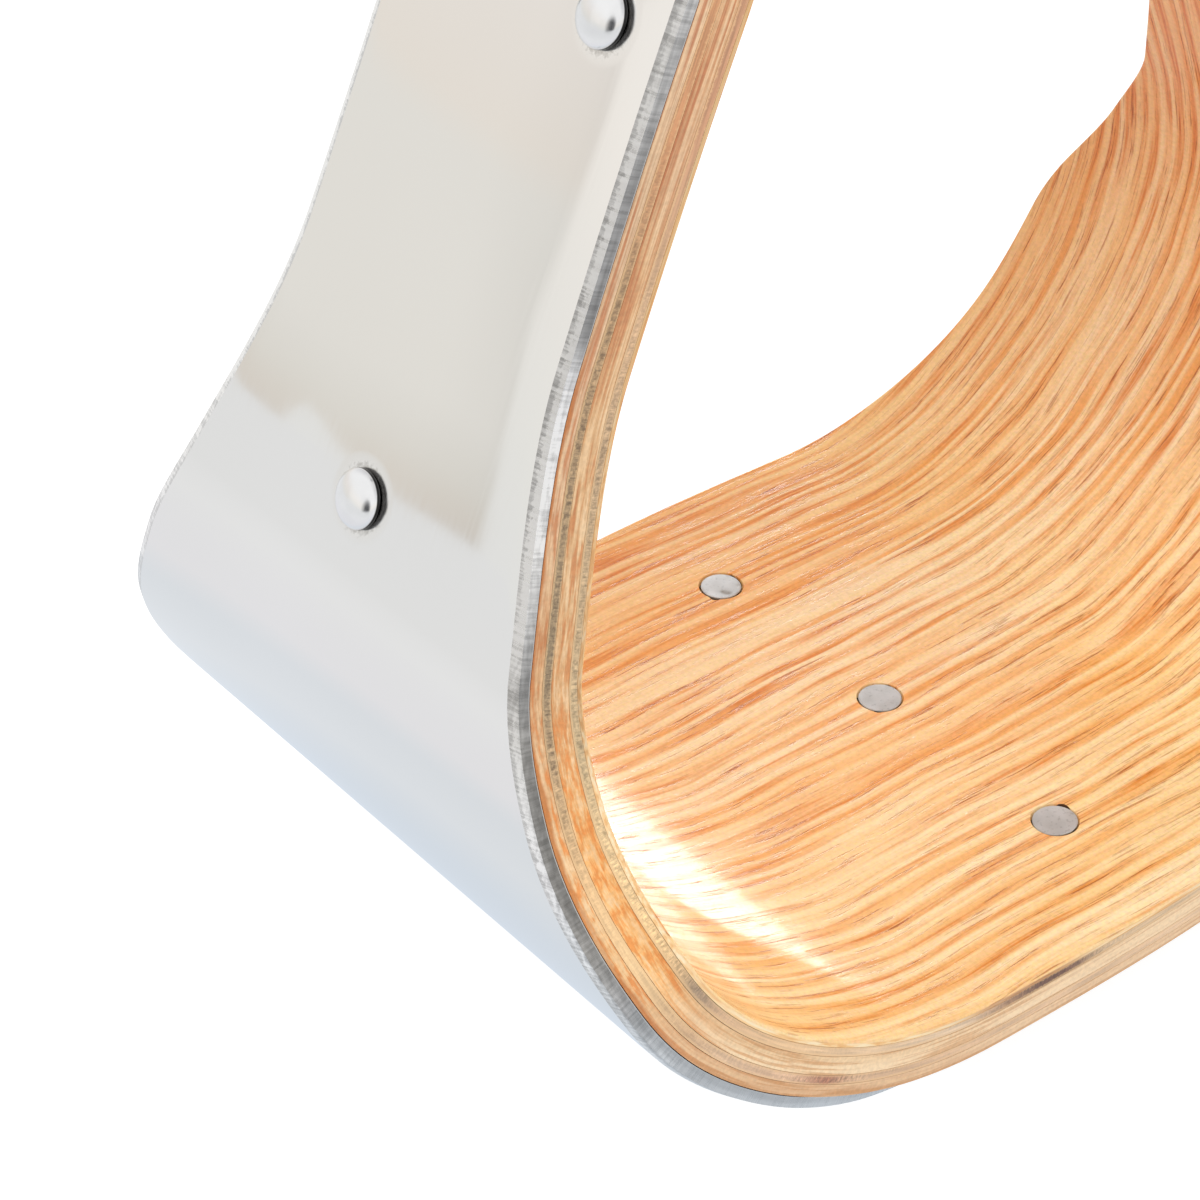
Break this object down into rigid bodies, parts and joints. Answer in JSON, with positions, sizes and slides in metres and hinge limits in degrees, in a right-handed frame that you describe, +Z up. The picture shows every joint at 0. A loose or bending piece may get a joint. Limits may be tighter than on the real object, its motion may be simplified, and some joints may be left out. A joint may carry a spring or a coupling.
{
  "type": "western stirrup",
  "caption": "Western riding stirrup: bent laminated oak bow bound with riveted polished steel sheet, with a flat wide tread and a turning roller on a bolt through the narrow neck.",
  "frame": {"origin": "under the middle of the tread, level with the lowest points of the tread rivets' heads", "axes": "+Z up from the tread to the neck, X along the tread from leg to leg and along the bolt, Y from the front edge to the back edge of the tread"},
  "size_m": [0.1274, 0.0762, 0.1584],
  "materials": {
    "polished_steel": "mirror polished sheet steel with ground edges",
    "rivet_metal": "polished domed heads, dull hammered tails",
    "plated_steel": "bright zinc plate",
    "roller_steel": "turned steel tube",
    "oak_face": "clear gloss varnish over open-pored oak",
    "oak_long_grain": "sanded and varnished ply edge, long grain",
    "oak_cross_grain": "sanded and varnished ply edge, end grain"
  },
  "bodies": {
    "bow": {"steel_binding": "polished_steel", "outer_oak_ply": "oak_long_grain", "outer_cross_ply": "oak_cross_grain", "core_ply": "oak_long_grain", "inner_cross_ply": "oak_cross_grain", "oak_face_veneer": "oak_face", "tread_rivet_front": "rivet_metal", "tread_rivet_middle": "rivet_metal", "tread_rivet_back": "rivet_metal", "leg_rivet_left": "rivet_metal", "leg_rivet_right": "rivet_metal", "neck_rivet_left_front": "rivet_metal", "neck_rivet_left_back": "rivet_metal", "neck_rivet_right_front": "rivet_metal", "neck_rivet_right_back": "rivet_metal", "stirrup_bolt": "plated_steel", "bolt_nut": "plated_steel", "bolt_washer_left": "plated_steel", "bolt_washer_right": "plated_steel", "thrust_washer_left": "plated_steel", "thrust_washer_right": "plated_steel"},
    "roller": {"leather_roller": "roller_steel"}
  },
  "joints": [
    {"name": "roller_spin", "type": "hinge", "parent": "bow", "child": "roller", "pos_m": [0, 0, 0.14243], "axis": [1, 0, 0], "continuous": true}
  ]
}
